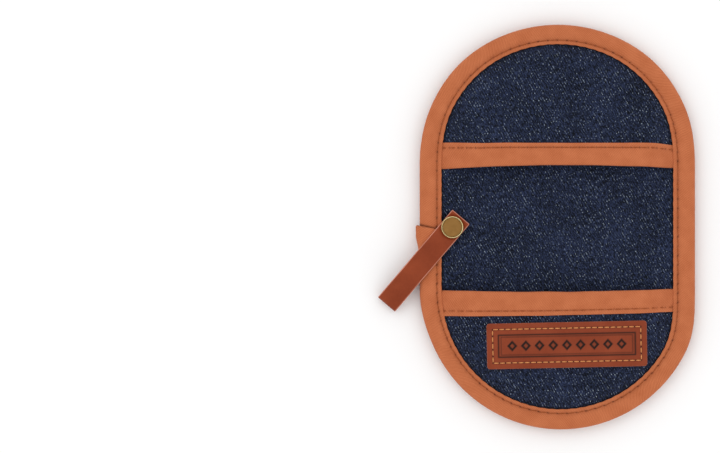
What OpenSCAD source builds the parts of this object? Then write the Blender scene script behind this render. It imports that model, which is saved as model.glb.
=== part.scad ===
// Double-pocket grab mitt: a padded oval pad with a bound edge, a pocket for the fingers at one
// end, a pocket for the thumb at the other, and a leather hanging loop closed by a snap.
// The pad lies on its plain palm side, z = 0, with the pockets facing up.
// X runs across the pad, Y along it: fingers at +Y, thumb at -Y, hanging loop at -X.

/* [Pad] */
// Overall length over the edge binding
pad_length = 225; // [185:1:275]
// Overall width over the edge binding
pad_width = 155; // [128:1:188]
// Thickness of the padded middle
pad_thickness = 9.4; // [7.8:0.1:12]
// Width of the sloping border where the palm side curves up to the edge
palm_slope_w = 43.8; // [36:0.1:48]
// Width of the sloping border of the pocket side
back_slope_w = 27.8; // [20:0.1:34]
// Distance from the pad's middle to each line where it folds in the hand
fold_line = 33; // [33:0.5:40]

/* [Cloth and filling] */
// Thickness of the denim
denim = 0.8; // [0.6:0.05:1.2]
// Thickness of the cotton pocket lining
lining = 0.3; // [0.2:0.05:0.5]
// Thickness of the heat-reflecting film
film = 0.3; // [0.2:0.05:0.5]
// Thickness of the wadding where the edge seam squeezes it
edge_wadding = 1; // [0.8:0.1:2]
// Thickness of the twill binding tape
tape = 0.6; // [0.4:0.05:0.8]
// Width of the edge binding on each side
binding_w = 12.2; // [10:0.1:15]

/* [Pockets] */
// Height of the hollow inside each pocket
pocket_room = 5.6; // [5:0.1:7]
// Width of the border over which a pocket rises from the edge seam
pocket_slope_w = 17.8; // [14:0.1:22]
// Width of the tape along each pocket's mouth
mouth_band_w = 13; // [10:0.5:16]

/* [Stitching] */
// Distance from one stitch to the next
stitch_pitch = 5; // [4:0.1:6]
// Length of thread that shows in one stitch
stitch_length = 3.6; // [2:0.1:4.4]
// Thickness of the thread
thread = 0.25; // [0.2:0.05:0.3]
// Distance from a tape's edge to its stitching
stitch_inset = 2.6; // [1.5:0.1:3.5]

/* [Label] */
// Length of the leather label
label_l = 89; // [74:0.5:107]
// Height of the leather label
label_h = 25.3; // [21:0.1:30]
// Distance from the thumb band to the label
label_gap = 5.8; // [3:0.1:8]
// Distance of the label's middle from the pad's middle line
label_shift = 5.2; // [0:0.1:6]
// Distance from one stitch to the next on the label
label_stitch_pitch = 3.5; // [3:0.1:5]
// Distance from the label's edge to its stitching
label_stitch_inset = 3.3; // [2:0.1:5]
// Turn of the label as sewn, in degrees
label_turn = 1.2; // [-2:0.1:2]

/* [Hanging loop] */
// Thickness of the leather
leather = 1.4; // [1.2:0.05:1.7]
// Width of the strap
strap_w = 12.5; // [10:0.1:15]
// Reach of the loop from the snap to the outside of its fold
strap_reach = 56.5; // [50:0.5:68]
// Length of strap past the snap
strap_tail = 7.5; // [7:0.1:9]
// Resting angle of the strap, below the line straight across the pad
strap_angle = 49.6; // [30:0.1:49.6]
// Inside radius of the fold
fold_inside_r = 1.2; // [1:0.1:1.6]
// Distance from the pad's edge to the snap
snap_inset = 19; // [16:0.5:22]
// Diameter of the snap's caps
cap_d = 12.5; // [10.5:0.1:15]
// Thickness of the snap's caps
cap_t = 1.2; // [1:0.05:1.5]

/* [Hidden] */

$fn = 96;
slope_steps = 10;      // straight steps in each sloping border
far = 400;             // longer than the whole pad
slip = 0.1;            // gap between faces that turn on each other
air = 0.3;             // gap between the strap and the cloth it swings over
mouth_gap = 1;         // from a fold line to the pocket's mouth
thread_w = 0.5;        // width of a stitch
stitch_gap = 0.8;      // least gap between two stitches

half_w = pad_width / 2;
straight_half = (pad_length - pad_width) / 2;
mouth = fold_line + mouth_gap;

// Heights through the bound edge, from the floor up
leg_low_z = cap_t + slip;
lap_low_z = leg_low_z + leather + air + thread;
binding_low_z = lap_low_z + tape;
palm_edge_z = binding_low_z + tape;
back_edge_z = palm_edge_z + denim + film + edge_wadding + denim;
top_edge_z = back_edge_z + lining + denim;
binding_top_z = top_edge_z + tape;
lap_top_z = binding_top_z + tape;
edge_r = (binding_top_z - binding_low_z) / 2;
edge_mid_z = (binding_top_z + binding_low_z) / 2;

// Lap where the two ends of the edge binding meet, beside the snap
lap_from = -20;
lap_to = 1.5;

// Faces as [distance from the middle line, height] points, from the middle out
function ramp(t) = (1 - cos(180 * t)) / 2;
function face_line(edge_z, inner_z, slope_w) = concat(
    [[0, inner_z]],
    [for (i = [slope_steps:-1:0])
        let (share = i / slope_steps)
        [half_w - binding_w - slope_w * share, edge_z + (inner_z - edge_z) * ramp(share)]],
    [[half_w - edge_r, edge_z]]
);
function raised(points, h) = [for (p = points) [p[0], p[1] + h]];
function backwards(points) = [for (i = [len(points) - 1:-1:0]) points[i]];
function between(lower, upper) = concat(lower, backwards(upper));
function inside_of(points, r) = concat(
    [for (p = points) if (p[0] < r) p],
    [[r, lookup(r, points)]]
);

palm_surface = face_line(palm_edge_z, 0, palm_slope_w);
film_surface = raised(palm_surface, denim);
wadding_surface = raised(film_surface, film);
back_surface_middle = face_line(top_edge_z, pad_thickness, back_slope_w);
back_surface_end = face_line(back_edge_z, pad_thickness, back_slope_w);
pocket_surface = face_line(back_edge_z, pad_thickness + pocket_room, pocket_slope_w);
panel_surface = raised(pocket_surface, lining);
panel_top = raised(panel_surface, denim);
// The sewn-on trim stops at the edge binding
trim_r = half_w - binding_w - slip;
trim_surface = inside_of(panel_top, trim_r);

// Outline of the binding around the pad's edge, grown outwards by that much
function fold_outline(grow) = concat(
    [[half_w - binding_w, edge_mid_z + edge_r + grow]],
    [for (a = [90:-15:-90])
        [half_w - edge_r + (edge_r + grow) * cos(a), edge_mid_z + (edge_r + grow) * sin(a)]],
    [[half_w - binding_w, edge_mid_z - edge_r - grow]]
);

// Both sides of a layer that crosses the middle line, as one shape
function both_sides(lower, upper) =
    let (left_low = [for (p = backwards(lower)) if (p[0] > 0) [-p[0], p[1]]],
         left_up = [for (p = upper) if (p[0] > 0) [-p[0], p[1]]])
    concat(left_low, lower, backwards(upper), left_up);

// Straight run of a shape from one y to another
module run(y0, y1) {
    translate([0, y1, 0]) rotate([90, 0, 0]) linear_extrude(height = y1 - y0) children();
}

// Round +Y end of the oval, from one y to another
module round_end(profile, y0, y1) {
    whole = y0 <= straight_half && y1 >= pad_length / 2 + tape;
    intersection() {
        translate([0, straight_half, 0]) rotate_extrude(angle = 180) polygon(profile);
        if (!whole) translate([-far / 2, y0, -far / 2]) cube([far, y1 - y0, far]);
    }
}

// A layer of the +Y half that crosses the middle line, between two faces
module layer(lower, upper, y0, y1) {
    if (y0 < straight_half) run(y0, min(y1, straight_half)) polygon(both_sides(lower, upper));
    if (y1 > straight_half) round_end(between(lower, upper), y0, y1);
}

// A rim of the +Y half, clear of the middle line
module rim(profile, y0, y1) {
    if (y0 < straight_half)
        run(y0, min(y1, straight_half)) {
            polygon(profile);
            mirror([1, 0]) polygon(profile);
        }
    if (y1 > straight_half) round_end(profile, y0, y1);
}

// ---- The snap, whose parts are all round about one upright axis ----

snap_x = snap_inset - half_w;
post_r = 1.6;
post_hole_r = post_r + slip;
snap_stack = 3.3;       // from the pad's squeezed top to the strap's front leg
leg_top_z = max(lap_top_z + thread, pad_thickness) + air;
stud_z = leg_top_z - snap_stack;
stud_flange_r = 5;
stud_flange_t = 0.5;
stud_head_r = 2.4;
stud_neck_r = 2.1;
socket_t = 0.5;
socket_r = 5.4;
socket_wall = 1.2;
dimple_r = socket_r + 1;
palm_dimple_r = 5;
palm_dimple_z = leg_low_z + leather + slip;

module at_snap() {
    translate([snap_x, 0, 0]) children();
}

module post_hole() {
    at_snap() cylinder(h = far, r = post_hole_r, center = true);
}

// Cap with a rolled rim: flat on top, round at the edge
module cap_shape() {
    rim = cap_t / 2;
    rotate_extrude()
        polygon(concat(
            [[0, 0], [cap_d / 2 - rim, 0]],
            [for (a = [-75:15:75]) [cap_d / 2 - rim + rim * cos(a), rim + rim * sin(a)]],
            [[cap_d / 2 - rim, cap_t], [0, cap_t]]
        ));
}

module snap_back_cap() {
    color("darkgoldenrod")
        at_snap() {
            cap_shape();
            translate([0, 0, cap_t / 2]) cylinder(h = stud_z + stud_flange_t - cap_t / 2, r = post_r);
        }
}

module snap_stud() {
    head_z = stud_z + stud_flange_t;
    head_h = snap_stack - stud_flange_t - socket_t - 2 * air;
    color("darkgoldenrod")
        at_snap()
            difference() {
                union() {
                    translate([0, 0, stud_z]) cylinder(h = stud_flange_t, r = stud_flange_r);
                    translate([0, 0, head_z]) cylinder(h = head_h, r = stud_neck_r);
                    translate([0, 0, head_z + head_h / 2]) cylinder(h = head_h / 2, r = stud_head_r);
                }
                translate([0, 0, stud_z - 1]) cylinder(h = 1 + stud_flange_t, r = post_r);
            }
}

module snap_socket() {
    bore_r = stud_head_r + air;
    ring_low_z = stud_z + stud_flange_t + air;
    ring_h = leg_top_z - socket_t - ring_low_z;
    color("darkgoldenrod")
        at_snap()
            difference() {
                union() {
                    translate([0, 0, leg_top_z - socket_t]) cylinder(h = socket_t, r = socket_r);
                    translate([0, 0, ring_low_z]) cylinder(h = ring_h, r = bore_r + socket_wall);
                }
                translate([0, 0, ring_low_z - 1]) cylinder(h = ring_h + 1, r = bore_r);
                cylinder(h = far, r = post_r);
            }
}

module snap_cap() {
    color("darkgoldenrod")
        at_snap() {
            translate([0, 0, leg_top_z + leather]) cap_shape();
            translate([0, 0, leg_top_z - socket_t])
                cylinder(h = socket_t + leather + cap_t / 2, r = post_r);
        }
}

// ---- The layers of the pad: a middle, and an end made at +Y that is turned round for the thumb ----

module at_end(end) {
    rotate([0, 0, end == "thumb" ? 180 : 0]) children();
}

// The middle or an end of a layer that runs through the whole pad
module part_of_layer(lower, upper, part) {
    if (part == "middle") {
        layer(lower, upper, 0, fold_line);
        rotate([0, 0, 180]) layer(lower, upper, 0, fold_line);
    } else
        at_end(part) layer(lower, upper, fold_line, far);
}

// Palm side cloth, with a shallow cup where the snap squeezes it against the strap
module palm_cover(part) {
    color("midnightblue") {
        difference() {
            part_of_layer(palm_surface, film_surface, part);
            at_snap() cylinder(h = far, r = palm_dimple_r, center = true);
        }
        if (part == "middle")
            at_snap()
                difference() {
                    translate([0, 0, palm_dimple_z])
                        cylinder(h = palm_edge_z - palm_dimple_z, r = palm_dimple_r + denim);
                    translate([0, 0, palm_dimple_z + denim]) cylinder(h = far, r = palm_dimple_r);
                    cylinder(h = far, r = post_hole_r);
                }
    }
}

module heat_film(part) {
    color("silver")
        difference() {
            part_of_layer(film_surface, wadding_surface, part);
            at_snap() cylinder(h = far, r = palm_dimple_r, center = true);
        }
}

module wadding(part) {
    back = part == "middle" ? back_surface_middle : back_surface_end;
    color("ivory")
        difference() {
            union() {
                part_of_layer(wadding_surface, raised(back, -denim), part);
                if (part == "middle")
                    at_snap() translate([0, 0, palm_dimple_z + denim])
                        cylinder(h = stud_z - palm_dimple_z - denim, r = palm_dimple_r);
            }
            post_hole();
            at_snap() translate([0, 0, stud_z - denim]) cylinder(h = far, r = dimple_r + denim);
        }
}

// The back cover, with a shallow cup where the snap squeezes it down
module back_cover(part) {
    back = part == "middle" ? back_surface_middle : back_surface_end;
    color("midnightblue") {
        difference() {
            part_of_layer(raised(back, -denim), back, part);
            at_snap() translate([0, 0, stud_z - denim]) cylinder(h = far, r = dimple_r);
        }
        if (part == "middle")
            at_snap()
                difference() {
                    translate([0, 0, stud_z - denim])
                        cylinder(h = back_edge_z + lining - stud_z + denim, r = dimple_r + denim);
                    translate([0, 0, stud_z]) cylinder(h = far, r = dimple_r);
                    cylinder(h = far, r = post_hole_r);
                }
    }
}

module edge_binding(part) {
    shape = between(fold_outline(0), fold_outline(-tape));
    color("chocolate")
        if (part == "middle") {
            rim(shape, 0, fold_line);
            rotate([0, 0, 180]) rim(shape, 0, fold_line);
        } else
            at_end(part) rim(shape, fold_line, far);
}

// The tape's end, lapped over its beginning
module binding_lap() {
    color("chocolate")
        run(lap_from, lap_to)
            mirror([1, 0]) polygon(between(fold_outline(tape), fold_outline(0)));
}

// ---- Stitching ----

// A point at a distance along the oval of that half width, as [x, y, heading, turn of its half]
function on_oval(r, along) =
    let (side = 2 * straight_half,
         half = side + PI * r,
         k = along % half,
         turn = along >= half ? 180 : 0,
         a = (k - side) / r * 180 / PI)
    k < side ? [r, k - straight_half, 90, turn] : [r * cos(a), straight_half + r * sin(a), a + 90, turn];

stitch_r = half_w - binding_w + stitch_inset;
stitch_line = 4 * straight_half + 2 * PI * stitch_r;

module edge_stitching(part) {
    count = round(stitch_line / stitch_pitch);
    bar = min(stitch_length, stitch_line / count - stitch_gap);
    low_y = part == "middle" ? -fold_line : part == "finger" ? fold_line : -far;
    high_y = part == "middle" ? fold_line : part == "finger" ? far : -fold_line;
    color("sienna")
        for (i = [0:count - 1]) {
            place = on_oval(stitch_r, (i + 0.5) * stitch_line / count);
            x = place[0] * cos(place[3]) - place[1] * sin(place[3]);
            y = place[0] * sin(place[3]) + place[1] * cos(place[3]);
            over_lap = x < 0 && y > lap_from - bar && y < lap_to + bar;
            lift = over_lap ? tape : 0;
            if (y > low_y + bar / 2 && y < high_y - bar / 2)
                for (z = [binding_top_z + lift, binding_low_z - lift - thread])
                    translate([x, y, z])
                        rotate([0, 0, place[2] + place[3]])
                            translate([-bar / 2, -thread_w / 2, 0])
                                cube([bar, thread_w, thread]);
        }
}

// Height of a face above one point of the pad. On a flat-sided run it depends on x alone.
function height_at(points, spot, round_ended) =
    lookup(round_ended ? norm([spot[0], max(0, abs(spot[1]) - straight_half)]) : abs(spot[0]), points);

// A straight row of stitches laid on a face, from one point to another
module stitch_row(points, from, to, pitch, round_ended = true) {
    length = norm(to - from);
    count = floor(length / pitch);
    along = (to - from) / length;
    across = [-along[1], along[0]] * thread_w / 2;
    bar = min(stitch_length, pitch - stitch_gap);
    for (i = [0:count - 1]) {
        spot = from + along * (i + 0.5) * length / count;
        corners = [for (a = [-1, 1], b = [-1, 1]) spot + a * along * bar / 2 + b * across];
        z = max([for (c = corners) height_at(points, c, round_ended)]);
        translate([spot[0], spot[1], z])
            rotate([0, 0, atan2(along[1], along[0])])
                translate([-bar / 2, -thread_w / 2, 0])
                    cube([bar, thread_w, thread]);
    }
}

// ---- The pockets: made at +Y, with y from the mouth, and turned round for the thumb ----

module pocket_lining(end) {
    color("beige") at_end(end) layer(pocket_surface, panel_surface, mouth, far);
}

module pocket_panel(end) {
    color("midnightblue") at_end(end) layer(panel_surface, panel_top, mouth, far);
}

// Outline of the pad at that half width, as a tall block
module block_inside(r) {
    linear_extrude(height = far, center = true) {
        square([2 * r, 2 * straight_half], center = true);
        for (side = [-1, 1]) translate([0, side * straight_half]) circle(r);
    }
}

// Tape folded round the pocket's mouth: a front, a lip and a back
module pocket_binding(end) {
    band_end = mouth + mouth_band_w;
    flat_r = half_w - binding_w - pocket_slope_w;
    back_half_w = sqrt(flat_r ^ 2 - max(0, band_end - straight_half) ^ 2) - 0.5;
    inside_face = pad_thickness + pocket_room;
    color("chocolate")
        at_end(end)
            intersection() {
                union() {
                    run(mouth, band_end) polygon(both_sides(trim_surface, raised(trim_surface, tape)));
                    run(mouth - tape, mouth)
                        polygon(both_sides(inside_of(pocket_surface, trim_r), raised(trim_surface, tape)));
                    translate([-back_half_w, mouth - tape, inside_face - tape])
                        cube([2 * back_half_w, mouth_band_w + tape, tape]);
                }
                block_inside(trim_r);
            }
}

module pocket_stitching(end) {
    y = mouth + mouth_band_w - stitch_inset;
    reach = sqrt(trim_r ^ 2 - max(0, y - straight_half) ^ 2) - stitch_length;
    band_top = raised(trim_surface, tape);
    color("sienna")
        at_end(end) stitch_row(band_top, [-reach, y], [reach, y], stitch_pitch, round_ended = false);
}

// ---- The label, sewn on the thumb pocket ----

label_y = -(mouth + mouth_band_w + label_gap + label_h / 2);

module at_label() {
    translate([label_shift, label_y, 0]) rotate([0, 0, label_turn]) children();
}

module label_block() {
    at_label() translate([-label_l / 2, -label_h / 2, 0]) cube([label_l, label_h, far]);
}

module leather_label() {
    from = mouth + mouth_band_w;
    label_top = raised(trim_surface, leather);
    color("saddlebrown") {
        if (from < straight_half)
            intersection() {
                at_end("thumb") run(from, straight_half) polygon(both_sides(trim_surface, label_top));
                label_block();
            }
        intersection() {
            at_end("thumb") round_end(between(trim_surface, label_top), straight_half - 1, far);
            label_block();
        }
    }
}

module label_stitching() {
    x = label_l / 2 - label_stitch_inset;
    y = label_h / 2 - label_stitch_inset;
    turned = [[cos(label_turn), sin(label_turn)], [-sin(label_turn), cos(label_turn)]];
    corners = [for (c = [[-x, -y], [x, -y], [x, y], [-x, y]]) c * turned + [label_shift, label_y]];
    label_top = raised(trim_surface, leather);
    color("sandybrown")
        for (i = [0:3])
            stitch_row(label_top, corners[i], corners[(i + 1) % 4], label_stitch_pitch);
}

// ---- The hanging loop: drawn along +X from the snap, then turned to its resting angle ----

fold_out_r = fold_inside_r + leather;
fold_x = strap_reach - fold_out_r;
fold_z = leg_low_z + fold_out_r;
// The front leg stays level until it is past the pad's edge at the end of its swing
level_x = (snap_inset + tape) / cos(strap_angle) + strap_w / 2 * tan(strap_angle) + 1;

module strap_frame() {
    at_snap() rotate([0, 0, 180 + strap_angle]) children();
}

module strap_strip(side_view) {
    rotate([90, 0, 0]) linear_extrude(height = strap_w, center = true) polygon(side_view);
}

module strap_back_leg() {
    color("saddlebrown")
        strap_frame()
            difference() {
                translate([-strap_tail, -strap_w / 2, leg_low_z])
                    cube([strap_tail + fold_x, strap_w, leather]);
                cylinder(h = far, r = post_hole_r, center = true);
            }
}

module strap_fold() {
    color("saddlebrown")
        strap_frame()
            translate([fold_x, 0, fold_z])
                rotate([90, 0, 0])
                    difference() {
                        cylinder(h = strap_w, r = fold_out_r, center = true);
                        cylinder(h = far, r = fold_inside_r, center = true);
                        translate([-far, -far / 2, -far / 2]) cube([far, far, far]);
                    }
}

module strap_front_leg() {
    low = [[-strap_tail, leg_top_z], [level_x, leg_top_z], [fold_x, fold_z + fold_inside_r]];
    color("saddlebrown")
        strap_frame()
            difference() {
                strap_strip(between(low, raised(low, leather)));
                cylinder(h = far, r = post_r, center = true);
            }
}

palm_cover("middle");  // palm_cover_middle
palm_cover("finger");  // palm_cover_finger_end
palm_cover("thumb");  // palm_cover_thumb_end
heat_film("middle");  // heat_film_middle
heat_film("finger");  // heat_film_finger_end
heat_film("thumb");  // heat_film_thumb_end
wadding("middle");  // wadding_middle
wadding("finger");  // wadding_finger_end
wadding("thumb");  // wadding_thumb_end
back_cover("middle");  // back_cover_middle
back_cover("finger");  // back_cover_finger_end
back_cover("thumb");  // back_cover_thumb_end
union() {  // edge_binding_middle
    edge_binding("middle");
    binding_lap();
}
edge_binding("finger");  // edge_binding_finger_end
edge_binding("thumb");  // edge_binding_thumb_end
edge_stitching("middle");  // edge_stitching_middle
edge_stitching("finger");  // edge_stitching_finger_end
edge_stitching("thumb");  // edge_stitching_thumb_end
pocket_lining("finger");  // finger_pocket_lining
pocket_panel("finger");  // finger_pocket_panel
pocket_binding("finger");  // finger_pocket_binding
pocket_stitching("finger");  // finger_pocket_stitching
pocket_lining("thumb");  // thumb_pocket_lining
pocket_panel("thumb");  // thumb_pocket_panel
pocket_binding("thumb");  // thumb_pocket_binding
pocket_stitching("thumb");  // thumb_pocket_stitching
leather_label();
label_stitching();
strap_back_leg();
strap_fold();
strap_front_leg();
snap_cap();
snap_socket();
snap_stud();
snap_back_cap();
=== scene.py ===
# %% [markdown]
# # A double-pocket oven mitt in denim, twill tape and leather
# The mitt is a flat padded oval. Its edge is bound with rust-orange tape, a pocket for the fingers and
# a pocket for the thumb face each other across its middle, and a leather loop hangs from a press stud.
# The frame below holds the working model: its sizes, its moving bodies and its joints. Every visible
# piece is made here around that frame, in metres; the pockets, their tape, the label, the lap and the snap
# caps ride on its bodies.

# %% The frame
import random
from math import atan2, cos, exp, hypot, pi, radians, sin, sqrt, tanh

import bmesh
import bpy
from mathutils import Matrix, Vector, noise
from mathutils.kdtree import KDTree


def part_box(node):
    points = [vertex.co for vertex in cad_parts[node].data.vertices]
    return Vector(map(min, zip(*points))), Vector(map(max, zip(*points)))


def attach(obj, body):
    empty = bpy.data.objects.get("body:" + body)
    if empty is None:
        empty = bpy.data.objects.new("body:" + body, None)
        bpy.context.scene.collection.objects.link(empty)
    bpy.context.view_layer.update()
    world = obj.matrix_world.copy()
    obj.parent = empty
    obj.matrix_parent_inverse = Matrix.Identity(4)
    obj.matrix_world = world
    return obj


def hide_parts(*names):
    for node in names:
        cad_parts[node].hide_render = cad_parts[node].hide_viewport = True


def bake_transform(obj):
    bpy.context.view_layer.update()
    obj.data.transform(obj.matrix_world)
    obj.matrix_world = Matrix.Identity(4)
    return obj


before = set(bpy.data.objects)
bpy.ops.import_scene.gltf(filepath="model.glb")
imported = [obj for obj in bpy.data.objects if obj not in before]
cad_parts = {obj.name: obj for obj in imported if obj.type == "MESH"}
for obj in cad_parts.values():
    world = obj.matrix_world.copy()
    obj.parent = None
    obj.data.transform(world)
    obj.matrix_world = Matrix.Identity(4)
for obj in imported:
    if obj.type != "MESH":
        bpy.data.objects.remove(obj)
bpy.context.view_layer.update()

random.seed(7)
MM = 0.001

# %% [markdown]
# ## The sizes that every piece shares
# The oval is two half circles joined by straight sides. Where a point lies on it is best said by its
# distance in from the outer edge, because each layer keeps the same height all the way round at one such
# distance. The numbers come from the frame's own boxes, so the pieces fit it without being nudged. Sewing
# pulls the oval out of true: the straight sides draw in, one end's shoulders stand out, the other end sits
# to the right, and the tape shows narrower where it is stretched round the ends. Those are the few values
# below.

# %% Shared sizes
edge_low, edge_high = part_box("edge_binding_finger_end")
HALF_W = edge_high.x
END_Y = edge_high.y - HALF_W
EDGE_R = (edge_high.z - edge_low.z) / 2
EDGE_MID_Z = (edge_high.z + edge_low.z) / 2
HINGE_Y = 33 * MM
BINDING_W = 12.2 * MM
DENIM = 0.8 * MM
LINING = 0.3 * MM
TAPE = 0.6 * MM

back_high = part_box("back_cover_middle")[1]
finger_panel_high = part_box("finger_pocket_panel")[1]
PALM_EDGE_Z = edge_low.z + TAPE
TOP_EDGE_Z = edge_high.z - TAPE
BACK_EDGE_Z = TOP_EDGE_Z - DENIM - LINING
MIDDLE_Z = back_high.z
PANEL_Z = finger_panel_high.z

snap_low, snap_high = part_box("snap_cap")
SNAP = Vector(((snap_low.x + snap_high.x) / 2, 0, 0))
STUD_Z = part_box("snap_stud")[0].z


def rim_distance(x, y):
    """Distance in from the mitt's outer edge."""
    return HALF_W - hypot(x, max(0, abs(y) - END_Y))


def ease(t):
    """0 to 1 with a soft start and a soft stop."""
    t = min(1, max(0, t))
    return (1 - cos(pi * t)) / 2


SIDES_IN = 0.9 * MM
SHOULDER_OUT = {1: 0.7 * MM, -1: 0}
END_SHIFT = {1: 0.3 * MM, -1: 2 * MM}
TAPE_AT_SIDES = 12.2 * MM
TAPE_AT_ENDS = 11.3 * MM


def hump(distance, width):
    """1 at the middle, fading to 0 at that width."""
    return exp(-((distance / width) ** 2))


def round_end(y):
    """0 along the straight sides, 1 round an end."""
    return ease((abs(y) - END_Y) / (35 * MM))


def rim_in(x, y):
    """How far in from the oval the tape's outer edge runs."""
    side = 1 if y > 0 else -1
    shoulder = SHOULDER_OUT[side] * hump(abs(y) - 92 * MM, 18 * MM)
    shift = END_SHIFT[side] * x / HALF_W * round_end(y)
    return SIDES_IN * (1 - round_end(y)) - shoulder - shift


def tape_edge(x, y, up):
    """Distance in to the tape's inner edge: on the pocket side (up) as it was fed, else even."""
    if up:
        return rim_in(x, y) + TAPE_AT_SIDES + (TAPE_AT_ENDS - TAPE_AT_SIDES) * round_end(y)
    return BINDING_W + 0.6 * MM * noise.noise(Vector((x / (30 * MM), y / (30 * MM), 11)))


print("half width", round(HALF_W / MM, 1), "ends turn at y", round(END_Y / MM, 1))

# %% [markdown]
# ## The faces of the padded layers
# Wadding makes each cover swell between its seams: the cloth climbs quickly beside the binding and then
# levels out. Each face is a height for every point, with slow uneven dents on top, because hand-cut
# wadding is never even. The dents fade out beside the binding.

# %% Heights of the faces


def past_tape(x, y, up):
    """Distance in from the tape's inner edge."""
    return rim_distance(x, y) - tape_edge(x, y, up)


def rise(x, y, slope, up, power=0.75):
    """How far a padded face has risen at a point, from 0 at the binding to 1 inside."""
    return ease(max(0, past_tape(x, y, up) / slope) ** power)


def dents(x, y, size, seed):
    """Slow unevenness of hand-filled cloth, from -1 to 1, which stays clear of the binding."""
    inside = ease((rim_distance(x, y) - BINDING_W - 1 * MM) / (10 * MM))
    return inside * noise.noise(Vector((x / size, y / size, seed)))


def snap_pull(x, y, radius):
    """1 at the snap, 0 outside the dimple that it pulls in."""
    return 1 - ease((hypot(x - SNAP.x, y) - radius) / (4.5 * MM))


def tucked(x, y, up):
    """Extra depth under the binding, where its stitches pull everything in."""
    return 0.5 * MM * ease((-0.6 * MM - past_tape(x, y, up)) / (1.2 * MM))


def under_band(x, y):
    """1 where a mouth's tape goes under the binding, which presses it down."""
    beside = 1 - ease((past_tape(x, y, True) + 1 * MM) / (7 * MM))
    return beside * (1 - ease((abs(y) - 46 * MM) / (4 * MM))) * ease((abs(y) - 28 * MM) / (4 * MM))


def palm_face(x, y):
    """Outer face of the palm side."""
    z = PALM_EDGE_Z * (1 - rise(x, y, 43.8 * MM, False, 0.85)) + 0.3 * MM * max(0, dents(x, y, 22 * MM, 3))
    pressed_z = 2.8 * MM
    return z + tucked(x, y, False) + (min(z, pressed_z) - z) * snap_pull(x, y, 5.2 * MM)


def back_face(x, y):
    """Outer face of the back cover, which the pockets hide at both ends."""
    end = ease((abs(y) - HINGE_Y + 1 * MM) / (3 * MM))
    edge_z = TOP_EDGE_Z + (BACK_EDGE_Z - TOP_EDGE_Z) * end - 0.5 * MM * under_band(x, y)
    z = edge_z + (MIDDLE_Z - edge_z) * rise(x, y, 27.8 * MM, True)
    z += 0.25 * MM * dents(x, y, 20 * MM, 9) * (1 - end)
    return z - tucked(x, y, True) * (1 - end) + (STUD_Z - z) * snap_pull(x, y, 5.6 * MM)


def pocket_face(x, y):
    """Outer face of a pocket's panel, which gapes at its mouth and lies flatter at its end."""
    far = ease((abs(y) - 44 * MM) / (22 * MM))
    top_z = PANEL_Z - 2.2 * MM * far
    z = TOP_EDGE_Z + (top_z - TOP_EDGE_Z) * rise(x, y, (19 - 8 * far) * MM, True, 0.7 - 0.08 * far)
    return z - 0.65 * MM * under_band(x, y) - tucked(x, y, True) + 0.5 * MM * dents(x, y, 24 * MM, 5)


print("snap at", [round(v / MM, 1) for v in SNAP], "palm pressed in, back dimple at", round(STUD_Z / MM, 1))

# %% [markdown]
# ## How the cloth settles
# A sewn sheet is a little fuller than its frame, so it puckers beside the seam and floats on its wadding.
# A short cloth simulation finds that shape: the sheet is pinned along the binding, given a thousandth more
# cloth and the lightest pressure from inside. More looks harmless but isn't: one percent over the width of
# a hand already domes by eight millimetres. It is solved at twenty times life size, where Blender's cloth
# is steady, then scaled back. The palm stays flat where it rests on the table. Every layer afterwards
# reads these heights, so nothing comes apart.

# %% Cloth simulation

SIM_SCALE = 20
SIM_FRAMES = 24
CLOTH_LIMIT = 0.8 * MM


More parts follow.
